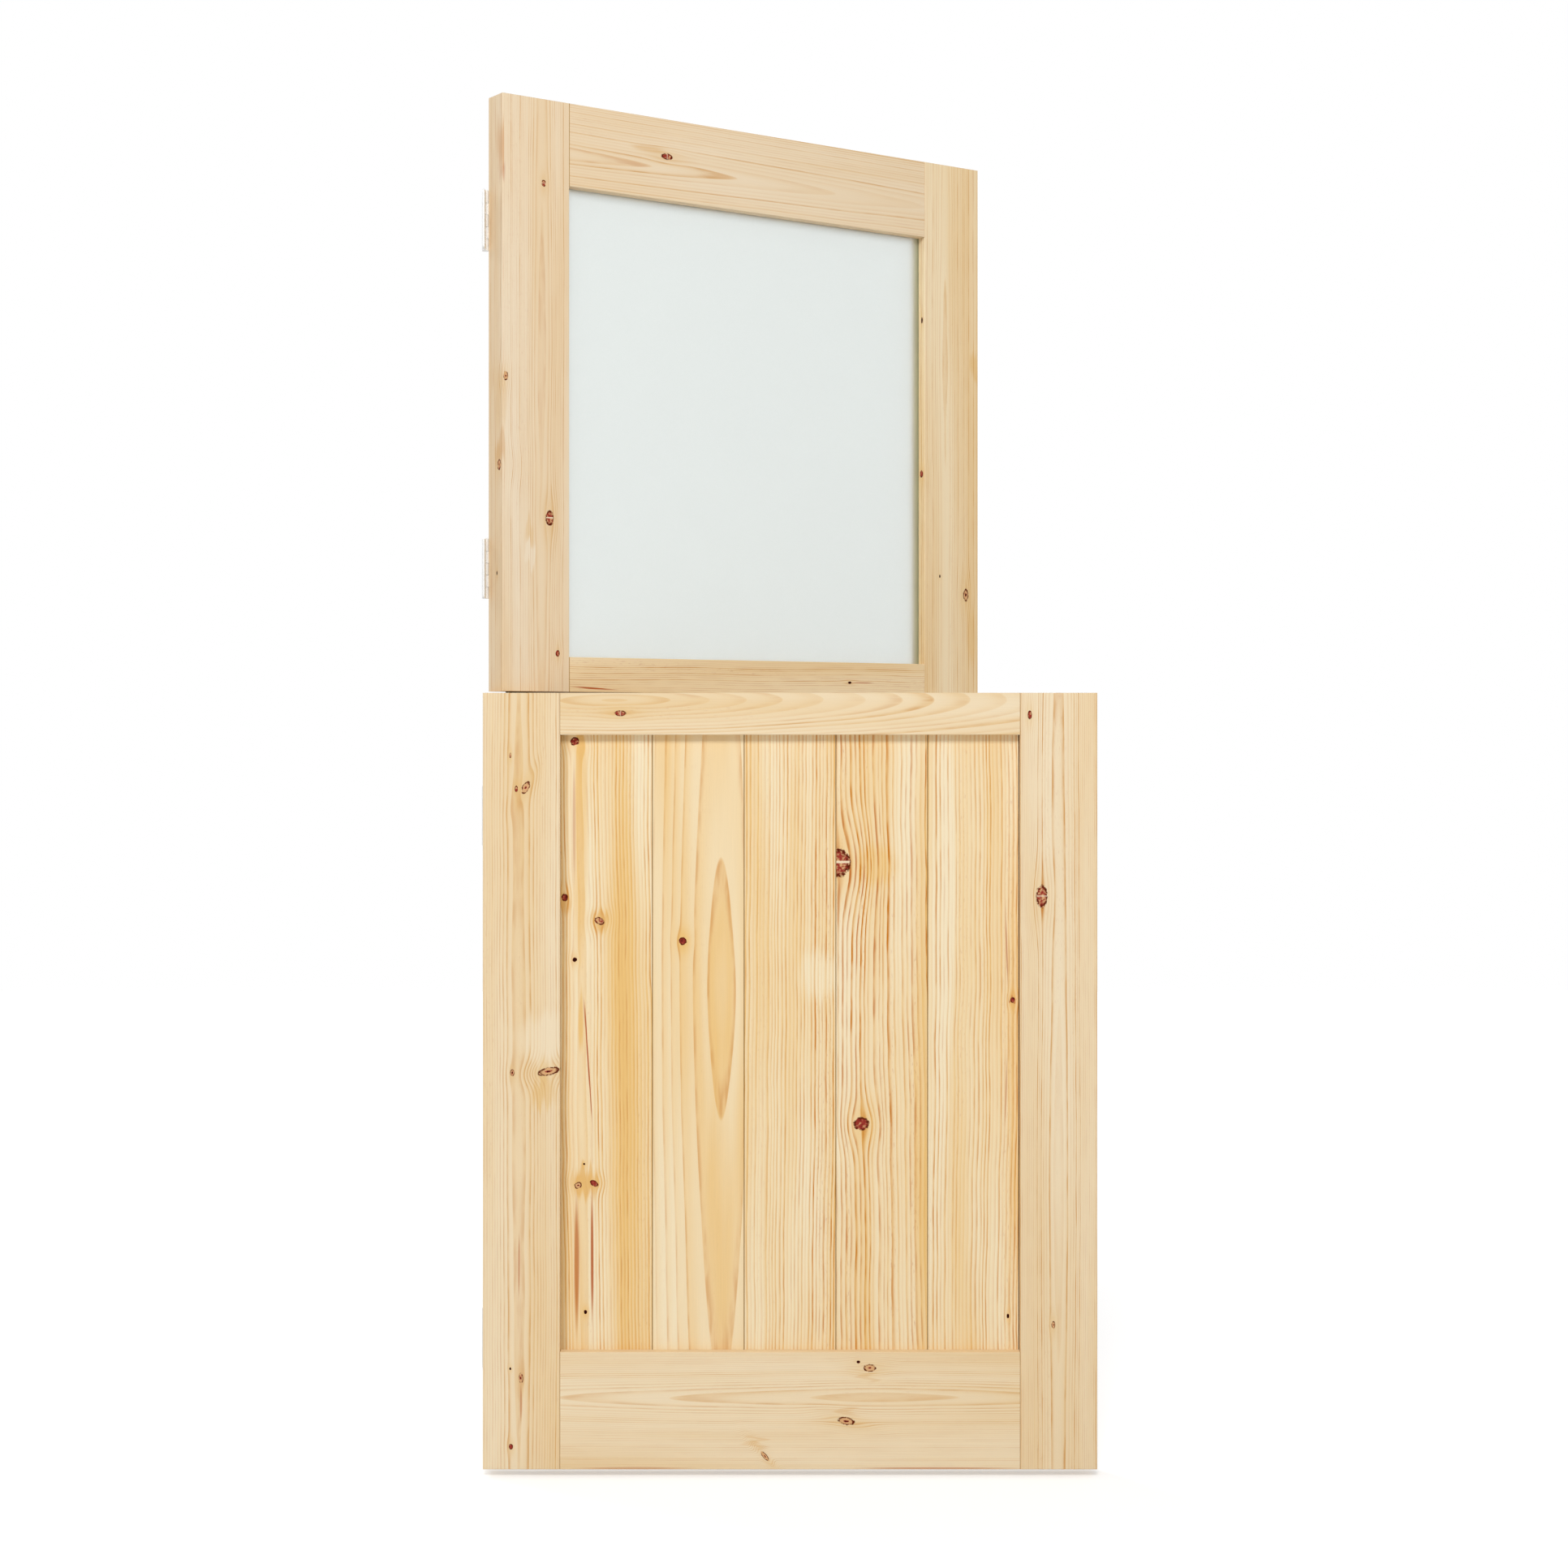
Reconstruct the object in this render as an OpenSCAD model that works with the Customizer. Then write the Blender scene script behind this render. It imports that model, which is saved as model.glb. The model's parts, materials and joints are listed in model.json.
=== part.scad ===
// Dutch stable door in pine: a glazed upper leaf over a boarded lower leaf, each hung on its own two hinges.
// The origin is on the hinge axis, level with the bottom edge of the lower leaf.
// +X runs along the closed leaves to the lock edge, +Y is the side that they open to, +Z is up.

/* [Leaves] */
// Width of both leaves
leaf_w = 914; // [700:1:1100]
// Thickness of both leaves
leaf_t = 44.5; // [42:0.5:60]
// Width of the stiles of both leaves
stile_w = 114.5; // [95:0.5:160]
// Gap between the upper leaf and the lower leaf
meeting_gap = 2.5; // [1.5:0.1:5]
// Chamfer that eases the edges of stiles and rails
ease = 0.8; // [0.3:0.1:2]

/* [Upper leaf] */
// Height of the upper leaf
upper_h = 893; // [750:1:1100]
// Height of its top rail
upper_top_rail_h = 126; // [80:1:180]
// Height of its bottom rail
upper_bottom_rail_h = 53; // [46:1:120]
// Angle at which it stands open
open_angle = 35; // [0:1:120]

/* [Glazing] */
// Thickness of the glass pane
glass_t = 6; // [4:0.5:10]
// Depth of the glass behind the front face
glass_reveal = 17; // [10:0.5:20]
// Chamfer on the ground edges of the glass
glass_arris = 0.5; // [0.2:0.1:1]
// Width of the rebate round the opening
rebate_w = 14; // [10:0.5:18]
// Gap round the edge of the glass, which the setting blocks fill below it
glass_edge_gap = 3; // [2:0.5:5]
// Length of a setting block
block_l = 60; // [30:1:120]
// Radius of the quarter round along a bead
bead_round = 9; // [4:0.5:10]
// Open joint between a bead and the rebate, and at each mitre
bead_gap = 0.2; // [0.1:0.05:0.5]
// Radius of a bead pin
bead_pin_r = 0.8; // [0.5:0.1:1.2]
// Length of a bead pin
bead_pin_l = 26; // [20:1:32]

/* [Lower leaf] */
// Height of the lower leaf
lower_h = 1155; // [900:1:1300]
// Height of its top rail
lower_top_rail_h = 62.5; // [50:0.5:120]
// Height of its bottom rail
lower_bottom_rail_h = 174.5; // [100:0.5:240]
// Thickness of the boards
board_t = 12; // [10:0.5:16]
// Open joint between the faces of two boards
board_gap = 0.3; // [0.1:0.1:1]
// Bevel along the edges of a board
board_bevel = 0.8; // [0.3:0.1:2]
// Thickness of the tongue on a board
tongue_t = 4; // [3:0.5:5]
// Length of the tongue on a board
tongue_l = 6; // [4:0.5:9]
// Depth of the groove that holds the boards
groove_d = 12; // [9:0.5:14]
// Room for the boards to swell in the groove
board_float = 2.5; // [1:0.5:4]
// Width of the quirk between the last board and the lock stile
quirk_w = 1.6; // [1:0.1:3]
// Depth of that quirk
quirk_d = 3.5; // [2:0.1:5]

/* [Frame joints] */
// Radius of a dowel
dowel_r = 5; // [4:0.5:6]
// Length of a dowel
dowel_l = 110; // [70:1:130]
// Distance from the centre of a dowel to the nearest edge or rebate
dowel_edge = 13; // [9:0.5:14]
// Most dowels at one end of a rail
dowels_most = 3; // [1:1:3]
// Clearance round dowels, pins, tongues and boards
fit_gap = 0.1; // [0.05:0.05:0.2]
// Room past the end of a dowel or a pin
end_room = 1.5; // [0.5:0.5:3]

/* [Meeting seal] */
// Width of the seal strip in the bottom edge of the upper leaf
seal_w = 8; // [5:0.5:12]
// Distance from the front face to the seal
seal_front = 3; // [2:0.5:8]
// Distance from each end of the leaf to the seal
seal_end = 10; // [5:1:30]
// Clearance between the seal and the lower leaf
seal_clear = 0.4; // [0.3:0.05:0.8]
// Thickness of the stem in its kerf
seal_stem_t = 2.4; // [1.6:0.1:3.5]
// Height of the stem in its kerf
seal_stem_h = 6; // [4:0.5:7]

/* [Hinges] */
// Height of a hinge
hinge_h = 89; // [76:1:110]
// Distance from a leaf's end to the nearest end of a hinge
hinge_end = 140; // [60:1:220]
// Thickness of the plates
plate_t = 2.8; // [2.5:0.1:3.5]
// Reach of the door plate from the pin
door_plate_w = 45; // [38:1:60]
// Reach of the jamb plate from the pin
jamb_plate_w = 25; // [23:0.5:36]
// Radius of the free corners of the plates
plate_corner_r = 4; // [1:0.5:6]
// Clearance between the jamb plate and the closed leaf
plate_clear = 0.4; // [0.2:0.1:1]
// Outer radius of the knuckles
knuckle_r = 5.5; // [4.8:0.1:7]
// Clearance between the knuckles and the back face of the leaf
knuckle_clear = 0.5; // [0.3:0.1:1]
// Clearance between one knuckle and the next
knuckle_gap = 0.4; // [0.2:0.1:0.8]
// Radius of the pin
pin_r = 3; // [2.5:0.1:3.5]
// Clearance between the pin and its bore
pin_clear = 0.05; // [0.02:0.01:0.1]
// Radius of the pin's head
pin_head_r = 4.6; // [4:0.1:5]
// Height of the pin's head
pin_head_h = 2.6; // [1.5:0.1:4]

/* [Hinge screws] */
// Radius of a screw's shank
screw_r = 2.1; // [1.8:0.1:2.4]
// Radius of a screw's head
screw_head_r = 4; // [3.6:0.1:4.2]
// Length of a screw
screw_l = 28; // [20:1:34]
// Length of a screw's point
screw_point = 5; // [3:0.5:8]
// Clearance round a screw in its hole
screw_clear = 0.1; // [0.05:0.05:0.2]
// Width of the slots of a screw's cross recess
recess_w = 1; // [0.6:0.1:1.2]
// Depth of a screw's cross recess
recess_d = 1.2; // [0.8:0.1:1.5]
// Distance from the end of a plate to its outer screws
screw_end = 11; // [7:0.5:14]
// Distance between the two inner screws of a plate
screw_inner = 26; // [18:1:30]
// Land between a countersink and the edge of the door plate
door_land = 3; // [1:0.5:5]
// Land between a countersink and the edge of the jamb plate
jamb_land = 1; // [0.6:0.1:2]

/* [Hidden] */
$fn = 48;

// Colours of the materials
pine = "#e6c38f";
board_pine = "#e3bb7c";
beech = "#d9b48a";
frosted = "#e3e8e4";
steel = "#b9bbbc";
dark_rubber = "#3a2f28";

// Cuts run this far past the faces that they open
over = 1;

// Place of a leaf beside the hinge axis
jamb_gap = plate_t + plate_clear;
edge_x = jamb_gap / 2;
pin_out = knuckle_r + knuckle_clear;
front_y = -(leaf_t + pin_out);
upper_z = lower_h + meeting_gap;

// Opening between the stiles, and its heights
clear_w = leaf_w - 2 * stile_w;
sight_h = upper_h - upper_top_rail_h - upper_bottom_rail_h;
sight_z = upper_bottom_rail_h + sight_h / 2;
panel_top = lower_h - lower_top_rail_h;

// Glass and beads in the rebate
glass_bite = rebate_w - glass_edge_gap;
bead_w = rebate_w - bead_gap;
bead_d = leaf_t - glass_reveal - glass_t;
bead_pin_depth = (bead_d - bead_round) * 2 / 3;
bead_halves = [sight_h / 2 + bead_w, clear_w / 2 + bead_w];

// Boards in the groove
board_count = 5;
board_w = clear_w / board_count;
board_y = (leaf_t - board_t) / 2;
board_reach = groove_d - board_float;
rail_tongue_l = groove_d - end_room;

// Dowels: as many as the full-thickness part of a rail takes
dowel_pitch = 2 * dowel_r + 2.5;
function spread(low, high, count) =
    count < 2 ? [(low + high) / 2] : [for (i = [0:count - 1]) low + i * (high - low) / (count - 1)];
function dowels_between(low, high) =
    spread(low, high, min(dowels_most, 1 + floor(max(high - low, 0) / dowel_pitch)));
upper_dowel_z = concat(
    dowels_between(dowel_edge, upper_bottom_rail_h - rebate_w - dowel_edge),
    dowels_between(upper_h - upper_top_rail_h + rebate_w + dowel_edge, upper_h - dowel_edge)
);
lower_dowel_z = concat(
    dowels_between(dowel_edge, lower_bottom_rail_h - groove_d - dowel_edge),
    dowels_between(panel_top + groove_d + dowel_edge, lower_h - dowel_edge)
);

// Seal under the upper leaf
seal_drop = meeting_gap - seal_clear;
seal_l = leaf_w - 2 * seal_end;
seal_mid = seal_front + seal_w / 2;
bulb_r = (pow(seal_w / 2, 2) + pow(seal_drop, 2)) / (2 * seal_drop);

// Knuckles and screws of a hinge, which is centred on z = 0
knuckle_count = 5;
knuckle_pitch = (hinge_h + knuckle_gap) / knuckle_count;
knuckle_l = knuckle_pitch - knuckle_gap;
notch = pin_out + plate_clear;
sink_r = screw_head_r + screw_clear;
row_in = screw_inner / 2;
row_out = hinge_h / 2 - screw_end;
door_near = notch + sink_r + door_land;
door_far = door_plate_w - sink_r - door_land;
jamb_near = notch + sink_r + jamb_land;
jamb_far = jamb_plate_w - sink_r - jamb_land;

// Heights of the hinges on each leaf, from the leaf's own bottom edge
hinge_mid = hinge_end + hinge_h / 2;
upper_hinges = [hinge_mid, upper_h - hinge_mid];
lower_hinges = [hinge_mid, lower_h - hinge_mid];

// Frames of reference: children of these are drawn from the leaf's hinge edge, front face and bottom edge
module on_upper_leaf() { rotate(open_angle) translate([edge_x, front_y, upper_z]) children(); }
module on_lower_leaf() { translate([edge_x, front_y, 0]) children(); }

// A bar with its edges along X and Z eased
function eased(w, h, c) =
    [[c, 0], [w - c, 0], [w, c], [w, h - c], [w - c, h], [c, h], [0, h - c], [0, c]];
module eased_bar(size, c) {
    intersection() {
        linear_extrude(size.z) polygon(eased(size.x, size.y, c));
        rotate([90, 0, 90]) linear_extrude(size.x) polygon(eased(size.y, size.z, c));
    }
}

// Dowels across both joints of a leaf, or the bores for them
module dowel_rows(heights, r, l) {
    for (x = [stile_w, leaf_w - stile_w], z = heights)
        translate([x, leaf_t / 2, z]) rotate([0, 90, 0]) cylinder(r = r, h = l, center = true);
}
module dowel_bores(heights) { dowel_rows(heights, dowel_r + fit_gap, dowel_l + 2 * end_room); }

// Screws of one door plate, drawn from the hinge axis, or the pilot holes for them
module at_door_screws() {
    for (side = [-1, 1]) {
        translate([door_near, -pin_out + plate_t, side * row_in]) rotate([-90, 0, 0]) children();
        translate([door_far, -pin_out + plate_t, side * row_out]) rotate([-90, 0, 0]) children();
    }
}
module screw() {
    flare = screw_head_r - screw_r;
    difference() {
        rotate_extrude()
            polygon([
                [0, 0], [screw_head_r, 0], [screw_r, -flare],
                [screw_r, screw_point - screw_l], [0, -screw_l],
            ]);
        for (turn = [0, 90])
            rotate(turn) translate([0, 0, -recess_d / 2 + over / 2])
                cube([screw_head_r, recess_w, recess_d + over], center = true);
    }
}
module pilot_holes(hinges) {
    for (z = hinges)
        translate([-edge_x, leaf_t + pin_out, z]) at_door_screws()
            translate([0, 0, -screw_l - end_room])
                cylinder(r = screw_r + screw_clear, h = screw_l + end_room + over);
}
module countersunk_hole() {
    translate([0, 0, -plate_t - over]) cylinder(r = screw_r + screw_clear, h = plate_t + 2 * over);
    translate([0, 0, screw_r - screw_head_r])
        cylinder(r1 = screw_r + screw_clear, r2 = sink_r, h = screw_head_r - screw_r);
    cylinder(r = sink_r, h = over);
}

// Rebate for the glass, cut from the back of the upper leaf
module glazing_rebate() {
    translate([stile_w - rebate_w, glass_reveal, upper_bottom_rail_h - rebate_w])
        cube([clear_w + 2 * rebate_w, leaf_t, sight_h + 2 * rebate_w]);
}

// Sides of the opening: 0 bottom, 1 hinge side, 2 top, 3 lock side
module at_bead(side) {
    translate([leaf_w / 2, glass_reveal + glass_t, sight_z])
        rotate([0, side * 90, 0]) translate([0, 0, -bead_halves[side % 2]]) children();
}
module bead_pin_rows(r, l) {
    for (side = [0:3]) {
        step = bead_halves[(side + 1) % 2] * 2 / 3;
        at_bead(side)
            for (i = [-1:1])
                translate([i * step, bead_pin_depth, bead_w - l]) cylinder(r = r, h = l, $fn = 24);
    }
}
module bead_pin_holes() { bead_pin_rows(bead_pin_r + fit_gap, bead_pin_l + end_room); }

// Kerf for the seal in the bottom edge of the upper leaf
module seal_kerf() {
    translate([seal_end - fit_gap, seal_mid - seal_stem_t / 2 - fit_gap, -over])
        cube([seal_l + 2 * fit_gap, seal_stem_t + 2 * fit_gap, seal_stem_h + end_room + over]);
}

// Frame of the upper leaf
module upper_cuts() {
    glazing_rebate();
    dowel_bores(upper_dowel_z);
    bead_pin_holes();
    seal_kerf();
}
module upper_hinge_stile() {
    color(pine) on_upper_leaf() difference() {
        eased_bar([stile_w, leaf_t, upper_h], ease);
        upper_cuts();
        pilot_holes(upper_hinges);
    }
}
module upper_lock_stile() {
    color(pine) on_upper_leaf() difference() {
        translate([leaf_w - stile_w, 0, 0]) eased_bar([stile_w, leaf_t, upper_h], ease);
        upper_cuts();
    }
}
module upper_rail(z, h) {
    color(pine) on_upper_leaf() difference() {
        translate([stile_w, 0, z]) eased_bar([clear_w, leaf_t, h], ease);
        upper_cuts();
    }
}
module upper_dowels() { color(beech) on_upper_leaf() dowel_rows(upper_dowel_z, dowel_r, dowel_l); }

// Glass, its setting blocks and the beads that hold it
module glass_pane() {
    color(frosted) on_upper_leaf()
        translate([stile_w - glass_bite, glass_reveal, upper_bottom_rail_h - glass_bite])
            eased_bar([clear_w + 2 * glass_bite, glass_t, sight_h + 2 * glass_bite], glass_arris);
}
module setting_blocks() {
    color(dark_rubber) on_upper_leaf()
        for (side = [-1, 1])
            translate([
                leaf_w / 2 + side * clear_w / 4 - block_l / 2,
                glass_reveal,
                upper_bottom_rail_h - rebate_w,
            ])
                cube([block_l, glass_t, glass_edge_gap]);
}
module bead_profile() {
    difference() {
        square([bead_d, bead_w]);
        translate([bead_d - bead_round, bead_w - bead_round]) difference() {
            square(bead_round + over);
            circle(bead_round);
        }
    }
}
module glazing_bead(side) {
    half = bead_halves[(side + 1) % 2];
    foot = half - bead_gap / 2;
    color(pine) on_upper_leaf() difference() {
        at_bead(side) intersection() {
            rotate([90, 0, 90]) translate([0, 0, -half]) linear_extrude(2 * half) bead_profile();
            rotate([90, 0, 0]) translate([0, 0, -bead_d]) linear_extrude(bead_d)
                polygon([[-foot, 0], [foot, 0], [foot - bead_w, bead_w], [bead_w - foot, bead_w]]);
        }
        bead_pin_holes();
    }
}
module bead_pins() { color(steel) on_upper_leaf() bead_pin_rows(bead_pin_r, bead_pin_l); }

// Bulb seal that fills the gap between the leaves
module meeting_seal() {
    color(dark_rubber) on_upper_leaf()
        translate([seal_end, seal_mid, 0]) rotate([90, 0, 90]) linear_extrude(seal_l) {
            intersection() {
                translate([0, bulb_r - seal_drop]) circle(bulb_r, $fn = 96);
                translate([-seal_w / 2, -seal_drop]) square([seal_w, seal_drop]);
            }
            translate([-seal_stem_t / 2, -seal_drop / 2])
                square([seal_stem_t, seal_stem_h + seal_drop / 2]);
        }
}

// Frame of the lower leaf: stiles grooved all along, rails with a tongue at each end
module board_groove(x, z, w, h) {
    translate([x, board_y - fit_gap, z]) cube([w, board_t + 2 * fit_gap, h]);
}
module stile_grooves() {
    board_groove(stile_w - groove_d, -over, clear_w + 2 * groove_d, lower_h + 2 * over);
}
module lower_hinge_stile() {
    color(pine) on_lower_leaf() difference() {
        eased_bar([stile_w, leaf_t, lower_h], ease);
        stile_grooves();
        dowel_bores(lower_dowel_z);
        pilot_holes(lower_hinges);
    }
}
module lower_lock_stile() {
    color(pine) on_lower_leaf() difference() {
        translate([leaf_w - stile_w, 0, 0]) eased_bar([stile_w, leaf_t, lower_h], ease);
        stile_grooves();
        dowel_bores(lower_dowel_z);
    }
}
module lower_rail(z, h, groove_z) {
    color(pine) on_lower_leaf() difference() {
        union() {
            translate([stile_w, 0, z]) eased_bar([clear_w, leaf_t, h], ease);
            translate([stile_w - rail_tongue_l, board_y, z]) cube([clear_w + 2 * rail_tongue_l, board_t, h]);
        }
        board_groove(stile_w - groove_d, groove_z, clear_w + 2 * groove_d, groove_d + over);
        dowel_bores(lower_dowel_z);
    }
}
module lower_dowels() { color(beech) on_lower_leaf() dowel_rows(lower_dowel_z, dowel_r, dowel_l); }

// Tongued and grooved board, counted from 0 at the hinge side
module bevel_edge(x) {
    for (y = [0, board_t]) translate([x, y]) rotate(45) square(board_bevel * sqrt(2), center = true);
}
module board_profile(first, last) {
    low = first ? -board_reach : board_gap / 2;
    high = last ? board_w + board_reach : board_w - board_gap / 2;
    slot_t = tongue_t + 2 * fit_gap;
    difference() {
        union() {
            translate([low, 0]) square([high - low, board_t]);
            if (!last)
                translate([high - over, (board_t - tongue_t) / 2]) square([tongue_l + over, tongue_t]);
        }
        if (!first) {
            bevel_edge(low);
            translate([low - over, (board_t - slot_t) / 2]) square([tongue_l + end_room + over, slot_t]);
        }
        if (!last) bevel_edge(high);
        if (last) translate([board_w - quirk_w, -over]) square([quirk_w, quirk_d + over]);
    }
}
module board(i) {
    foot = lower_bottom_rail_h - groove_d;
    color(board_pine) on_lower_leaf()
        translate([stile_w + i * board_w, board_y, foot])
            linear_extrude(panel_top + board_reach - foot)
                board_profile(i == 0, i == board_count - 1);
}

// Half-surface hinge: door plate on the back face, jamb plate in the gap, five knuckles on one pin
module plate_outline(inner, outer) {
    r = plate_corner_r;
    translate([inner, -hinge_h / 2]) square([outer - inner - r, hinge_h]);
    translate([inner, r - hinge_h / 2]) square([outer - inner, hinge_h - 2 * r]);
    for (side = [-1, 1]) translate([outer - r, side * (hinge_h / 2 - r)]) circle(r);
}
module at_knuckles(first) {
    for (i = [first:2:knuckle_count - 1]) translate([0, 0, i * knuckle_pitch - hinge_h / 2]) children();
}
module pin_bore() { cylinder(r = pin_r + pin_clear, h = hinge_h + 2 * over, center = true); }
module door_plate() {
    color(steel) difference() {
        union() {
            rotate([90, 0, 0]) translate([0, 0, pin_out - plate_t]) linear_extrude(plate_t)
                plate_outline(notch, door_plate_w);
            at_knuckles(1) {
                cylinder(r = knuckle_r, h = knuckle_l);
                translate([0, -pin_out, 0]) cube([notch + over, plate_t, knuckle_l]);
            }
        }
        pin_bore();
        at_door_screws() countersunk_hole();
    }
}
module jamb_plate() {
    color(steel) difference() {
        union() {
            rotate([90, 0, -90]) translate([0, 0, edge_x - plate_t]) linear_extrude(plate_t)
                plate_outline(notch, jamb_plate_w);
            at_knuckles(0) {
                cylinder(r = knuckle_r, h = knuckle_l);
                translate([-edge_x, -notch - over, 0]) cube([plate_t, notch + over, knuckle_l]);
            }
        }
        pin_bore();
        for (side = [-1, 1]) {
            translate([plate_t - edge_x, -jamb_near, side * row_in]) rotate([0, 90, 0]) countersunk_hole();
            translate([plate_t - edge_x, -jamb_far, side * row_out]) rotate([0, 90, 0]) countersunk_hole();
        }
    }
}
module hinge_pin() {
    crown = pin_head_h / 2;
    color(steel) {
        translate([0, 0, -hinge_h / 2]) cylinder(r = pin_r, h = hinge_h + crown);
        translate([0, 0, hinge_h / 2]) cylinder(r = pin_head_r, h = crown);
        translate([0, 0, hinge_h / 2 + crown]) cylinder(r1 = pin_head_r, r2 = pin_r, h = pin_head_h - crown);
    }
}

// Hinge pieces on the axis: what the leaf carries turns with it, what the jamb carries stays
module turned(z) { rotate(open_angle) translate([0, 0, upper_z + z]) children(); }
module fixed_high(z) { translate([0, 0, upper_z + z]) children(); }
module fixed_low(z) { translate([0, 0, z]) children(); }
module upper_hinge_screws() { color(steel) for (z = upper_hinges) turned(z) at_door_screws() screw(); }
module lower_hinge_screws() { color(steel) for (z = lower_hinges) fixed_low(z) at_door_screws() screw(); }

upper_hinge_stile();
upper_lock_stile();
upper_rail(upper_h - upper_top_rail_h, upper_top_rail_h);  // upper_top_rail
upper_rail(0, upper_bottom_rail_h);  // upper_bottom_rail
upper_dowels();
glass_pane();
setting_blocks();
glazing_bead(0);  // glazing_bead_bottom
glazing_bead(1);  // glazing_bead_hinge_side
glazing_bead(2);  // glazing_bead_top
glazing_bead(3);  // glazing_bead_lock_side
bead_pins();
meeting_seal();
lower_hinge_stile();
lower_lock_stile();
lower_rail(panel_top, lower_top_rail_h, panel_top - over);  // lower_top_rail
lower_rail(0, lower_bottom_rail_h, lower_bottom_rail_h - groove_d);  // lower_bottom_rail
lower_dowels();
board(0);  // board_1
board(1);  // board_2
board(2);  // board_3
board(3);  // board_4
board(4);  // board_5
turned(upper_hinges[0]) door_plate();  // upper_low_door_plate
fixed_high(upper_hinges[0]) jamb_plate();  // upper_low_jamb_plate
fixed_high(upper_hinges[0]) hinge_pin();  // upper_low_pin
turned(upper_hinges[1]) door_plate();  // upper_top_door_plate
fixed_high(upper_hinges[1]) jamb_plate();  // upper_top_jamb_plate
fixed_high(upper_hinges[1]) hinge_pin();  // upper_top_pin
upper_hinge_screws();
fixed_low(lower_hinges[0]) door_plate();  // lower_low_door_plate
fixed_low(lower_hinges[0]) jamb_plate();  // lower_low_jamb_plate
fixed_low(lower_hinges[0]) hinge_pin();  // lower_low_pin
fixed_low(lower_hinges[1]) door_plate();  // lower_top_door_plate
fixed_low(lower_hinges[1]) jamb_plate();  // lower_top_jamb_plate
fixed_low(lower_hinges[1]) hinge_pin();  // lower_top_pin
lower_hinge_screws();
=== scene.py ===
"""Looks of the Dutch stable door: pine with its own grain on each board, frosted glass and white hinges."""

import json
import math

import bpy
from mathutils import Matrix, Vector

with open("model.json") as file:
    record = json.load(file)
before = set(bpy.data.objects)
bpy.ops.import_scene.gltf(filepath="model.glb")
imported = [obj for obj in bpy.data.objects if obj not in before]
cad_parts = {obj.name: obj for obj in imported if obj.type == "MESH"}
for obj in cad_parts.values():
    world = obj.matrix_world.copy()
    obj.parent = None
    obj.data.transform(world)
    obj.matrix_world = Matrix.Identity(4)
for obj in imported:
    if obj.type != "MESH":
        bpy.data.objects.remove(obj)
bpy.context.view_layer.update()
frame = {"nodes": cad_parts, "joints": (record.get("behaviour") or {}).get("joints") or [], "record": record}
nodes = frame["nodes"]
scene = bpy.context.scene
MM = 0.001

# The upper leaf stands open by the turn that would close it
joints = {joint["name"]: joint for joint in frame["joints"]}
OPEN = math.radians(-joints["upper_hinge"]["range_deg"][0])
UPPER_NODES = set(frame["record"]["behaviour"]["bodies"]["upper_leaf"])


def closed_box(name):
    """A node's lowest and highest corner with its leaf closed."""
    turn = Matrix.Rotation(-OPEN if name in UPPER_NODES else 0.0, 3, "Z")
    points = [turn @ v.co for v in nodes[name].data.vertices]
    low = Vector(min(p[i] for p in points) for i in range(3))
    high = Vector(max(p[i] for p in points) for i in range(3))
    return low, high


# Both leaves have stiles of one width, so the rails and the boards fill the same span
BOARD_COUNT = sum(name.startswith("board_") for name in nodes)
FIRST_BOARD = "board_1"
LAST_BOARD = f"board_{BOARD_COUNT}"
SPAN_START = closed_box("lower_hinge_stile")[1].x
SPAN = closed_box("lower_lock_stile")[0].x - SPAN_START
BOARD_WIDTH = SPAN / BOARD_COUNT


# Node trees


class Wire:
    """A node's output, which sums can be written with."""

    def __init__(self, socket):
        self.socket = socket
        self.tree = socket.id_data

    def __add__(self, other):
        return calc("ADD", self, other)

    def __sub__(self, other):
        return calc("SUBTRACT", self, other)

    def __rsub__(self, other):
        return calc("SUBTRACT", other, self)

    def __mul__(self, other):
        return calc("MULTIPLY", self, other)

    def __truediv__(self, other):
        return calc("DIVIDE", self, other)

    __radd__ = __add__
    __rmul__ = __mul__


def put(node, values):
    """Fills a node's inputs, by name or index: a Wire is linked and anything else is set."""
    for key, value in values.items():
        if isinstance(value, Wire):
            node.id_data.links.new(value.socket, node.inputs[key])
        else:
            node.inputs[key].default_value = value


def add(tree, kind, values=None, **settings):
    """A new node in a tree, with its settings made before its inputs are filled."""
    node = tree.nodes.new("ShaderNode" + kind)
    for key, value in settings.items():
        setattr(node, key, value)
    put(node, values or {})
    return node


def tree_of(values):
    """The tree that the Wires among these values are in."""
    return next(v.tree for v in values if isinstance(v, Wire))


def calc(operation, *values):
    node = add(tree_of(values), "Math", dict(enumerate(values)), operation=operation)
    return Wire(node.outputs[0])


def vector(operation, *values):
    node = add(tree_of(values), "VectorMath", dict(enumerate(values)), operation=operation)
    return Wire(node.outputs["Value" if operation == "LENGTH" else "Vector"])


def split(wire):
    return [Wire(s) for s in add(wire.tree, "SeparateXYZ", {0: wire}).outputs]


def join(x, y, z):
    return Wire(add(tree_of((x, y, z)), "CombineXYZ", {0: x, 1: y, 2: z}).outputs[0])


def least(first, second):
    return calc("MINIMUM", first, second)


def most(first, second):
    return calc("MAXIMUM", first, second)


def ramp(value, low, high):
    """0 up to low, 1 from high, and smooth between."""
    settings = {"Value": value, "From Min": low, "From Max": high}
    node = add(tree_of((value, low, high)), "MapRange", settings, interpolation_type="SMOOTHSTEP")
    return Wire(node.outputs["Result"])


def between(low, high, share):
    """From low at a share of 0 to high at a share of 1."""
    return share * (high - low) + low


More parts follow.
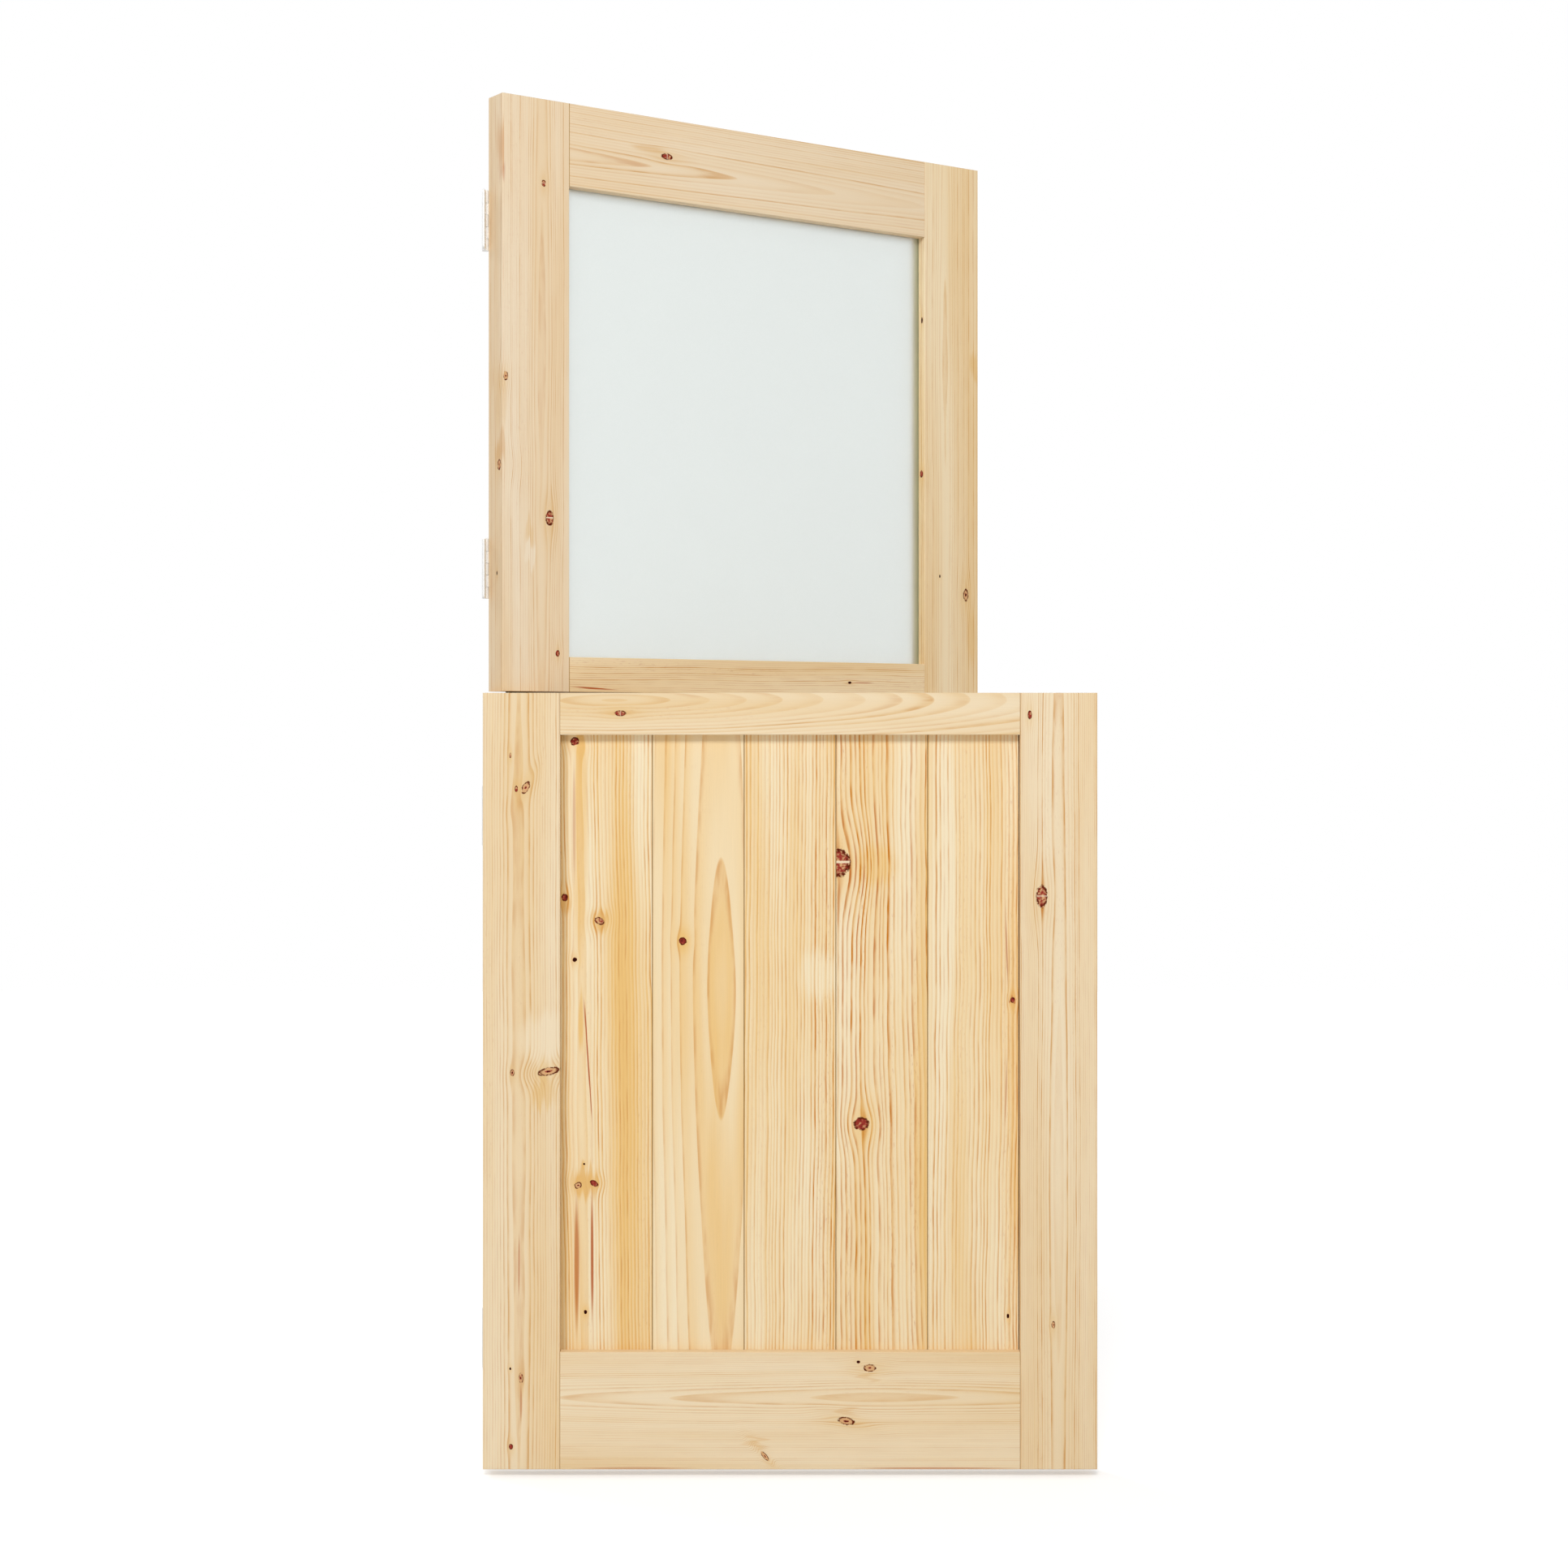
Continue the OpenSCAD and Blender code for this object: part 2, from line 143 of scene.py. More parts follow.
def blend(factor, first, second, how="MIX"):
    """A colour that turns from first to second, or to their product."""
    # A Mix node has its colours at inputs 6 and 7 and at output 2
    values = {0: factor, 6: first, 7: second}
    node = add(tree_of((factor, first, second)), "Mix", values, data_type="RGBA", blend_type=how)
    return Wire(node.outputs[2])


NOISE_MEAN = 0.5


def noise(place, cells, detail=2.0):
    """Noise that swings about NOISE_MEAN, with so many cells to the metre along each axis."""
    values = {"Vector": vector("MULTIPLY", place, cells), "Scale": 1.0, "Detail": detail}
    return Wire(add(place.tree, "TexNoise", values).outputs[0])


def group(name, inputs, outputs):
    """A new node group: its inputs as Wires by name, and its output node."""
    tree = bpy.data.node_groups.new(name, "ShaderNodeTree")
    for label, kind in inputs.items():
        tree.interface.new_socket(label, in_out="INPUT", socket_type="NodeSocket" + kind)
    for label, kind in outputs.items():
        tree.interface.new_socket(label, in_out="OUTPUT", socket_type="NodeSocket" + kind)
    entry = tree.nodes.new("NodeGroupInput")
    return tree, {s.name: Wire(s) for s in entry.outputs if s.name}, tree.nodes.new("NodeGroupOutput")


def use(tree, made_group, values):
    """One use of a group in a tree: its outputs as Wires by name."""
    node = add(tree, "Group", node_tree=made_group)
    put(node, values)
    return {s.name: Wire(s) for s in node.outputs}


def object_places(tree):
    """Places in the row's frame at rest, in metres."""
    return Wire(add(tree, "TexCoord").outputs["Object"])


def linear(code):
    """A hex colour as linear RGBA."""
    parts = [int(code[i : i + 2], 16) / 255 for i in (1, 3, 5)]
    return (*[c / 12.92 if c <= 0.04045 else ((c + 0.055) / 1.055) ** 2.4 for c in parts], 1.0)


# Wood. Grain places are metres: across the board's face, in from the face, and along the grain


def turned(wire, angle):
    """A grain place turned in the plane of the board's face."""
    node = add(wire.tree, "VectorRotate", {"Vector": wire, "Angle": angle}, rotation_type="Y_AXIS")
    return Wire(node.outputs[0])


# Knots. Edges are shares of the knot's half size, where 1 is its outline
KNOT_MARKS = dict.fromkeys(("Push", "Core", "Shade", "Rim", "Halo", "Crack"), "Float")
KNOT_ROUGH_SCALE = 230.0
OUTLINE_RAGGED = 0.45
CORE_ENDS = (0.9, 1.04)
RIM_STARTS = (0.66, 0.86)
RIM_ENDS = (1.0, 1.14)
RIM_GAPS = (0.36, 0.54)  # the rim is missing where the noise is below these
PUPIL_ENDS = (0.1, 0.4)
PUPIL_FADES = (0.15, 0.35)  # a knot darker than these has no pupil
PUPIL_SHADE = 0.8
MOTTLE_SHADE = 1.4
DETOUR_STRETCH = (1, 1, 0.6)  # lines leave their course further off along the grain than across it
DETOUR_FALL = -0.22
DETOUR_SHARE = 0.85
CRACK_WANDER = 0.2
CRACK_OFFSET = 0.05
CRACK_ENDS = (0.04, 0.12)


def knot_group():
    """One knot on top of those before it: how far the grain steps aside, and the marks of the knot itself."""
    facts = {"Place": "Vector", "Size": "Vector", "Turn": "Float", "Dark": "Float", "Split": "Float"}
    inputs = {"Grain": "Vector", "Rough": "Vector", **facts, **KNOT_MARKS}
    tree, had, leave = group("knot", inputs, KNOT_MARKS)
    away = vector("SUBTRACT", had["Grain"], had["Place"])
    unit = vector("DIVIDE", turned(away, had["Turn"]), had["Size"])
    reach = vector("LENGTH", unit)
    outline, gaps, mottling = split(had["Rough"])
    edge = reach + (outline - NOISE_MEAN) * OUTLINE_RAGGED
    core = 1.0 - ramp(edge, *CORE_ENDS)
    rim = ramp(edge, *RIM_STARTS) * (1.0 - ramp(edge, *RIM_ENDS)) * ramp(gaps, *RIM_GAPS)
    pupil = (1.0 - ramp(edge, *PUPIL_ENDS)) * (1.0 - ramp(had["Dark"], *PUPIL_FADES))
    shade = pupil * PUPIL_SHADE + (mottling - NOISE_MEAN) * MOTTLE_SHADE + had["Dark"]
    far = vector("LENGTH", vector("MULTIPLY", unit, DETOUR_STRETCH))
    fall = calc("EXPONENT", far * far * DETOUR_FALL)
    push = split(away)[0] * fall * DETOUR_SHARE
    slit = calc("ABSOLUTE", split(unit)[2] + (edge - reach) * CRACK_WANDER - CRACK_OFFSET)
    crack = (1.0 - ramp(slit, *CRACK_ENDS)) * core * had["Split"]
    put(leave, {
        "Push": had["Push"] + push,
        "Core": most(had["Core"], core),
        "Shade": most(had["Shade"], core * shade),
        "Rim": most(had["Rim"], rim),
        "Halo": most(had["Halo"], fall),
        "Crack": most(had["Crack"], crack),
    })
    return tree


# Patches. Their ends are ragged along the grain
PATCH_MARKS = dict.fromkeys(("Tone", "Stain", "Bold"), "Float")
PATCH_DEPTH = 32  # half size in from the face, in millimetres
PATCH_ENDS = (0.4, 1.0)
PATCH_RAGGED = 70 * MM
RAGGED_CELLS = (170, 170, 4)


def patch_group():
    """A soft oval that makes wood amber or pale, stains it red-brown, or makes its lines bold or faint."""
    place = {"Place": "Vector", "Size": "Vector", "Turn": "Float"}
    effects = {"Amber": "Float", "Rust": "Float", "Lines": "Float"}
    tree, had, leave = group("patch", {"Grain": "Vector", **place, **effects, **PATCH_MARKS}, PATCH_MARKS)
    away = turned(vector("SUBTRACT", had["Grain"], had["Place"]), had["Turn"])
    inside = 1.0 - ramp(vector("LENGTH", vector("DIVIDE", away, had["Size"])), *PATCH_ENDS)
    put(leave, {
        "Tone": had["Tone"] + inside * had["Amber"],
        "Stain": had["Stain"] + inside * had["Rust"],
        "Bold": had["Bold"] + inside * had["Lines"],
    })
    return tree


PINE_FACTS = {
    "Pith": "Vector",  # across, depth and the place along the grain where the log bends
    "Lean": "Vector",  # slope across, slope in depth either side of the bend, and the bend's softness
    "Ring": "Float",  # width of a growth ring
    "Phase": "Float",  # share of a ring by which all rings move out
    "Waver": "Float",  # how far the rings wander
    "Seed": "Float",
    "Line": "Float",  # strength of the latewood lines
    "Band": "Float",  # how amber the wood turns towards each line
    "Red": "Float",  # share of red-brown in the lines
    "Pick": "Float",  # how few of the lines are strong
    "Share": "Float",  # how much of a ring its line takes, 1 for the broadest
    "Drift": "Float",  # how much the tone changes slowly from place to place
    "Pale": "Color",
    "Amber": "Color",
    "Brown": "Color",
}

# Each seed reads the noise so many metres further on, and numbers its rings from so many rings on
SEED_STEP = (1.3, 0.7, 1.9)
SEED_RINGS = 17.0

# How the rings wander, in multiples of Waver. Noise cells to the metre: across, in depth and along the grain
SWAY_CELLS = (5, 5, 3.5)
SWAY = 12.0
RIPPLE_CELLS = (30, 30, 14)
RIPPLE = 3.0
BULGE_CELLS = (4, 4, 5)
BULGE_APART = (3.7, 0, 0)  # keeps its noise apart from the sway's
BULGE = 4.0

# Rings are not all as wide: noise along the radius moves them by a number of rings
UNEVEN_CELLS = (45, 1, 1)
UNEVEN_RINGS = 1.6


def rings(had):
    """Rings round a leaning, bending pith: place within a ring, and two random numbers for each ring."""
    across, depth, along = split(had["Grain"])
    pith_across, pith_depth, bend = split(had["Pith"])
    slope_across, slope_depth, soft = split(had["Lean"])
    spot, seed, waver = had["Spot"], had["Seed"], had["Waver"]
    from_bend = along - bend
    arc = calc("SQRT", from_bend * from_bend + soft * soft)
    ripple = (noise(spot, RIPPLE_CELLS) - NOISE_MEAN) * RIPPLE
    sway = (noise(spot, SWAY_CELLS, 1.0) - NOISE_MEAN) * SWAY + ripple
    bulge = (noise(vector("ADD", spot, BULGE_APART), BULGE_CELLS, 1.0) - NOISE_MEAN) * BULGE
    side = across - had["Push"] - pith_across - from_bend * slope_across + sway * waver
    deep = depth + pith_depth + arc * slope_depth + bulge * waver
    radius = vector("LENGTH", join(side, deep, 0.0))
    uneven = noise(join(radius, seed, 0.0), UNEVEN_CELLS, 1.0) - NOISE_MEAN
    count = radius / had["Ring"] + uneven * UNEVEN_RINGS - had["Phase"]
    number = calc("FLOOR", count) + seed * SEED_RINGS
    luck = add(spot.tree, "TexWhiteNoise", {"W": number}, noise_dimensions="1D")
    first, second, _ = split(Wire(luck.outputs["Color"]))
    return calc("FRACT", count), first, second


# Within a ring, from 0 to 1, the wood turns amber. The line's places are counted back from the ring's end
AMBER_STARTS = (0.1, 0.95)
AMBER_ENDS = (0.97, 1.0)
LINE_STARTS = 0.55
LINE_FULL = 0.15
LINE_ENDS = 0.1

# Detail that does not follow the rings
STREAK_CELLS = (110, 110, 16)
STREAK_EDGES = (0.38, 0.64)
DRIFT_CELLS = (18, 18, 1.2)
FIBRE_CELLS = (900, 900, 14)
FIBRE_SHADE = 0.09
DASH_CELLS = (600, 600, 90)
DASH_EDGES = (0.58, 0.72)
DASH_ZONE_CELLS = (45, 45, 1.5)
DASH_ZONE_EDGES = (0.5, 0.66)

# How strong each part of the colour is
PLAIN_AMBER = 0.25
HALO_AMBER = 0.4
LEAST_LUCKY_BAND = 0.3
LEAST_PICKED = 0.1
STREAK_STRENGTH = (0.35, 1.05)
RED_LUCK = (0.25, 0.9)
RED_STRENGTH = 0.6
HALO_RED = 0.7
DASH_STRENGTH = 0.55
MOST_RUST = 0.9
HEART_REDDENS = (0.1, 0.5)
HEART_DARKENS = (0.5, 1.0)
RUST = linear("#b24a0c")
KNOT_TAN = linear("#dcac7a")
KNOT_RED = linear("#9c362c")
KNOT_DARK = linear("#260300")
KNOT_RIM = linear("#5e1c06")
CRACK = linear("#f1dcbc")

PINE_ROUGH = 0.62
LATEWOOD_SMOOTHER = 0.1
KNOT_SMOOTHER = 0.15


def ring_line(place, share):
    """The latewood line at the end of a ring."""
    starts = ramp(place, 1.0 - share * LINE_STARTS, 1.0 - share * LINE_FULL)
    return starts * (1.0 - ramp(place, 1.0 - share * LINE_ENDS, 1.0))


def knotted(colour, had):
    """A colour with the knots on it."""
    heart = blend(ramp(had["Shade"], *HEART_REDDENS), KNOT_TAN, KNOT_RED)
    heart = blend(ramp(had["Shade"], *HEART_DARKENS), heart, KNOT_DARK)
    colour = blend(had["Core"], colour, heart)
    colour = blend(had["Rim"], colour, KNOT_RIM)
    return blend(had["Crack"], colour, CRACK)


def pine_group():
    """Colour and relief of pine from its rings, fibres, knots and patches."""
    inputs = {"Grain": "Vector", **PINE_FACTS, **KNOT_MARKS, **PATCH_MARKS}
    tree, had, leave = group("pine", inputs, {"Color": "Color", "Height": "Float", "Rough": "Float"})
    spot = vector("ADD", had["Grain"], join(*(had["Seed"] * step for step in SEED_STEP)))
    had["Spot"] = spot
    place, luck, second_luck = rings(had)

    late = ramp(place, *AMBER_STARTS) * (1.0 - ramp(place, *AMBER_ENDS))
    line = ring_line(place, had["Share"])
    streak = ramp(noise(spot, STREAK_CELLS), *STREAK_EDGES)
    drift = (noise(spot, DRIFT_CELLS) - NOISE_MEAN) * had["Drift"]
    fibre = noise(spot, FIBRE_CELLS) - NOISE_MEAN
    dash_zone = ramp(noise(spot, DASH_ZONE_CELLS, 1.0), *DASH_ZONE_EDGES)
    dash = ramp(noise(spot, DASH_CELLS, 1.0), *DASH_EDGES) * dash_zone

    band = late * between(LEAST_LUCKY_BAND, 1.0, luck) * had["Band"]
    amber = PLAIN_AMBER + had["Tone"] + drift + band + had["Halo"] * HALO_AMBER
    colour = blend(least(most(amber, 0.0), 1.0), had["Pale"], had["Amber"])
    bold = most(had["Bold"] + 1.0, 0.0)
    picked = between(LEAST_PICKED, 1.0, calc("POWER", luck, had["Pick"]))
    strength = line * had["Line"] * picked * between(*STREAK_STRENGTH, streak) * bold
    colour = blend(strength, colour, had["Brown"])
    red_lines = line * ramp(second_luck, *RED_LUCK) * (streak + had["Halo"] * HALO_RED) * RED_STRENGTH
    rust = most(red_lines, dash * DASH_STRENGTH) * had["Red"] * bold
    colour = blend(least(most(rust, had["Stain"]), MOST_RUST), colour, RUST)
    shades = {"Color": knotted(colour, had), "Value": fibre * FIBRE_SHADE + 1.0}
    lit = add(tree, "HueSaturation", shades)
    rough = PINE_ROUGH - late * LATEWOOD_SMOOTHER - had["Core"] * KNOT_SMOOTHER
    put(leave, {"Color": Wire(lit.outputs[0]), "Height": fibre, "Rough": rough})
    return tree


KNOT = knot_group()
PATCH = patch_group()
PINE = pine_group()

UPPER_PINE = {"Pale": linear("#f2e0c4"), "Amber": linear("#e6c493"), "Brown": linear("#c98c42")}
WARM_PINE = {"Pale": linear("#f7e3bf"), "Amber": linear("#ebc78e"), "Brown": linear("#ce8f40")}
LOWER_PINE = {"Pale": linear("#f2dfbe"), "Amber": linear("#e7c389"), "Brown": linear("#cb8b3c")}
BOARD_PINE = {"Pale": linear("#f7e6c3"), "Amber": linear("#eec47d"), "Brown": linear("#cb7c12")}
WARM_NODES = ("upper_lock_stile", "upper_bottom_rail")
PINE_RELIEF = {"Strength": 0.25, "Distance": 0.4 * MM}
PINE_GLOSS = 0.05


def grain_places(tree, name, origin, upright):
    """Where a point lies in its board, whichever way the board runs."""
    turn = (0.0, 0.0, -OPEN if name in UPPER_NODES else 0.0)
    values = {"Vector": object_places(tree), "Location": -origin, "Rotation": turn}
    x, y, z = split(Wire(add(tree, "Mapping", values).outputs[0]))
    return join(x, y, z) if upright else join(z, y, x)


def mm(*values):
    """Millimetres as metres."""
    return tuple(v * MM for v in values)


def knot(across, along, half_across, half_along, turn=0, dark=0.5, crack=0, depth=0, half_depth=25):
    """A knot's facts, from its place and half sizes in millimetres and its turn in degrees."""
    place, size = mm(across, depth, along), mm(half_across, half_depth, half_along)
    return {"Place": place, "Size": size, "Turn": math.radians(turn), "Dark": dark, "Split": crack}


def patch(across, along, half_across, half_along, turn=0, amber=0.0, rust=0.0, lines=0.0):
    """A patch's facts, in the same units."""
    place, size = mm(across, 0, along), mm(half_across, PATCH_DEPTH, half_along)
    effects = {"Amber": amber, "Rust": rust, "Lines": lines}
    return {"Place": place, "Size": size, "Turn": math.radians(turn), **effects}


def knot_marks(tree, grain, knots):
    """The marks of all of a board's knots."""
    marks = {}
    if knots:
        rough = add(tree, "TexNoise", {"Vector": grain, "Scale": KNOT_ROUGH_SCALE})
        places = {"Grain": grain, "Rough": Wire(rough.outputs["Color"])}
        for facts in knots:
            marks = use(tree, KNOT, {**places, **facts, **marks})
    return marks


def patch_marks(tree, grain, patches):
    """The marks of all of a board's patches."""
    marks = {}
    if patches:
        shift = (noise(grain, RAGGED_CELLS) - NOISE_MEAN) * PATCH_RAGGED
        ragged = vector("ADD", grain, join(0.0, 0.0, shift))
        for facts in patches:
            marks = use(tree, PATCH, {"Grain": ragged, **facts, **marks})
    return marks


# Painted shade in the seams between boards, in the quirk beside the lock stile and in the panel's hinge-side
# corner, where shadow falls
SEAM_PAINTED_SHADE = linear("#ad8a55")
QUIRK_PAINTED_SHADE = linear("#3a1d08")
SEAM_HALF = 0.8 * MM
SEAM_SOLID = 0.6
# painted shadow cast by the hinge stile onto the panel's corner
CORNER_PAINTED_SHADE = linear("#dbd6cb")
CORNER_ENDS = (4 * MM, 14 * MM)


def near_seam(place, seams):
    """1 in the eased edges at these places."""
    nearest = calc("ABSOLUTE", place - seams[0])
    for seam in seams[1:]:
        nearest = least(nearest, calc("ABSOLUTE", place - seam))
    return 1.0 - ramp(nearest, SEAM_HALF * SEAM_SOLID, SEAM_HALF)


def seam_places(name):
    """Where a rail or board meets the next piece, along the rail or across the board."""
    if name.endswith("rail"):
        return 0.0, SPAN
    if name.startswith("board"):
        low = () if name == FIRST_BOARD else (0.0,)
        high = () if name == LAST_BOARD else (BOARD_WIDTH,)
        return low + high
    return ()


def paint_seam_shade(name, grain, colour):
    """A board's colour, with painted shade where it meets its neighbours, in the quirk and in the hinge-side
    corner.
    """
    across, _, along = split(grain)
    seams = seam_places(name)
    if seams:
        # painted shade in the eased edges of the seams, where the grooves lie in shadow
        colour = blend(near_seam(along if name.endswith("rail") else across, seams), colour, SEAM_PAINTED_SHADE)
    if name == LAST_BOARD:
        # painted shade in the quirk beside the lock stile
        colour = blend(near_seam(across, [BOARD_WIDTH - SEAM_HALF]), colour, QUIRK_PAINTED_SHADE)
    if name == FIRST_BOARD:
        # painted shadow of the hinge stile, multiplied into the first board's colour
        colour = blend(1.0 - ramp(across, *CORNER_ENDS), colour, CORNER_PAINTED_SHADE, "MULTIPLY")
    return colour


def wood(name, origin, upright, colours, pith, lean, ring, waver, seed, line, band, red,
         pick=3.5, share=1.0, drift=1.5, phase=0.0, knots=(), patches=()):
    """Pine for one board, in the terms of PINE_FACTS. Pith, ring, waver and the bend are in millimetres."""
    material = bpy.data.materials.new(name)
    material.use_nodes = True
    tree = material.node_tree
    grain = grain_places(tree, name, origin, upright)
    slope_across, slope_depth, soft = lean
    log = {"Pith": mm(*pith), "Lean": (slope_across, slope_depth, soft * MM), "Ring": ring * MM}
    growth = {"Phase": phase, "Waver": waver * MM, "Seed": seed, "Drift": drift}
    lines = {"Line": line, "Band": band, "Red": red, "Pick": pick, "Share": share}
    marks = {**knot_marks(tree, grain, knots), **patch_marks(tree, grain, patches)}
    pine = use(tree, PINE, {"Grain": grain, **log, **growth, **lines, **colours, **marks})
    bump = add(tree, "Bump", {"Height": pine["Height"], **PINE_RELIEF})
    put(tree.nodes["Principled BSDF"], {
        "Base Color": paint_seam_shade(name, grain, pine["Color"]),
        "Normal": Wire(bump.outputs[0]),
        "Roughness": pine["Rough"],
        "Specular IOR Level": PINE_GLOSS,
    })
    return material


def dress(name, material):
    """Gives a node one material."""
    nodes[name].data.materials.clear()
    nodes[name].data.materials.append(material)


# Each board's own grain, in millimetres, with its knots and patches where the photo shows them.
# Pith: across, depth, bend. Lean: slope across, slope in depth, softness of the bend.

